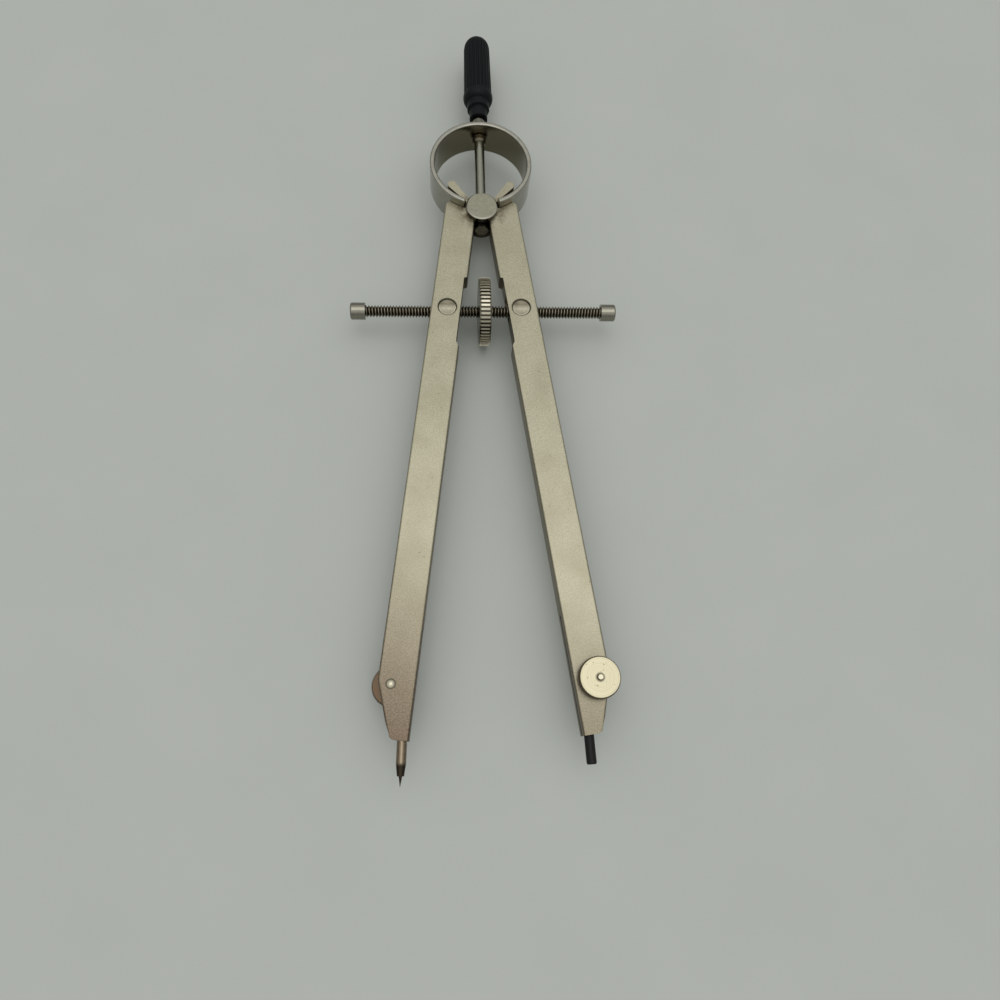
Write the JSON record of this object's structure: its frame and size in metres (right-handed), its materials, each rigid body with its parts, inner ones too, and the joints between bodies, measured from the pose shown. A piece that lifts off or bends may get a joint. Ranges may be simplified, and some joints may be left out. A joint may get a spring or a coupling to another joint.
{
  "type": "bow compass",
  "caption": "Bow compass lying on its back: ring spring, hooked satin legs set by a centre wheel on a threaded spindle, thumb nuts that clamp needle and lead, fluted handle.",
  "frame": {"origin": "on the table, under the middle of the compass's box, with the compass lying on its back", "axes": "+X across the legs towards the lead leg, +Y along the compass towards its handle, +Z out of its front face"},
  "size_m": [0.0616, 0.1858, 0.0156],
  "materials": {
    "handle_plastic": "satin, moulded",
    "satin_nickel": "pearl-satin nickel plate",
    "spring_steel": "pearl-satin nickel plate",
    "polished_nickel": "polished",
    "turned_nickel": "turned face, knurled rim",
    "dark_steel": "oiled, dark",
    "needle_steel": "ground",
    "graphite": "graphite"
  },
  "bodies": {
    "head": {"handle_grip": "handle_plastic", "stem": "polished_nickel", "stem_ferrule": "polished_nickel", "bow_nut": "dark_steel", "bow_spring": "spring_steel", "fulcrum_pin": "polished_nickel", "fulcrum_washer": "polished_nickel", "stem_end_nut": "dark_steel"},
    "needle_leg_body": {"needle_leg": "satin_nickel", "needle_clamp_stud": "polished_nickel"},
    "lead_leg_body": {"lead_leg": "satin_nickel", "lead_clamp_stud": "polished_nickel"},
    "needle_trunnion_body": {"needle_leg_trunnion": "polished_nickel"},
    "lead_trunnion_body": {"lead_leg_trunnion": "polished_nickel"},
    "spindle_body": {"spindle": "dark_steel", "left_end_cap": "polished_nickel", "right_end_cap": "polished_nickel"},
    "wheel_body": {"centre_wheel": "polished_nickel"},
    "needle_nut_body": {"needle_clamp_nut": "turned_nickel"},
    "lead_nut_body": {"lead_clamp_nut": "turned_nickel"},
    "needle_body": {"needle_shank": "needle_steel", "needle_point": "needle_steel"},
    "lead_body": {"lead": "graphite"}
  },
  "joints": [
    {"name": "lead_leg_open", "type": "hinge", "parent": "head", "child": "lead_leg_body", "pos_m": [0, 0.03753, 0.0078], "axis": [0, 0, 1], "range_deg": [-7.3, 25], "deforming": ["bow_spring"]},
    {"name": "needle_leg_open", "type": "hinge", "parent": "head", "child": "needle_leg_body", "pos_m": [0, 0.03753, 0.0078], "axis": [0, 0, -1], "range_deg": [-7.3, 25]},
    {"name": "lead_trunnion_turn", "type": "hinge", "parent": "lead_leg_body", "child": "lead_trunnion_body", "pos_m": [0.00853, 0.01069, 0.0078], "axis": [0, 0, -1], "range_deg": [-7.3, 25]},
    {"name": "needle_trunnion_turn", "type": "hinge", "parent": "needle_leg_body", "child": "needle_trunnion_body", "pos_m": [-0.00853, 0.01069, 0.0078], "axis": [0, 0, 1], "range_deg": [-7.3, 25]},
    {"name": "spindle_slide", "type": "slide", "parent": "needle_trunnion_body", "child": "spindle_body", "axis": [1, 0, 0], "range_m": [-0.00316, 0.01081]},
    {"name": "wheel_turn", "type": "hinge", "parent": "spindle_body", "child": "wheel_body", "pos_m": [0, 0.01069, 0.0078], "axis": [1, 0, 0], "range_deg": [-1622, 5555]},
    {"name": "lead_clamp_turn", "type": "hinge", "parent": "lead_leg_body", "child": "lead_nut_body", "pos_m": [0.02045, -0.07368, 0.0078], "axis": [0, 0, 1], "range_deg": [0, 540]},
    {"name": "needle_clamp_turn", "type": "hinge", "parent": "needle_leg_body", "child": "needle_nut_body", "pos_m": [-0.02045, -0.07368, 0.0078], "axis": [0, 0, -1], "range_deg": [0, 540]},
    {"name": "lead_slide", "type": "slide", "parent": "lead_leg_body", "child": "lead_body", "axis": [0.0401, -0.9992, 0], "range_m": [-0.0045, 0.01]},
    {"name": "needle_slide", "type": "slide", "parent": "needle_leg_body", "child": "needle_body", "axis": [-0.0401, -0.9992, 0], "range_m": [-0.006, 0.006]}
  ],
  "couplings": [
    {"joint": "lead_leg_open", "follows": "wheel_turn", "ratio": 0.0045},
    {"joint": "needle_leg_open", "follows": "wheel_turn", "ratio": 0.0045},
    {"joint": "lead_trunnion_turn", "follows": "wheel_turn", "ratio": 0.0045},
    {"joint": "needle_trunnion_turn", "follows": "wheel_turn", "ratio": 0.0045},
    {"joint": "spindle_slide", "follows": "wheel_turn", "m_per_rad": 0.00011141}
  ]
}
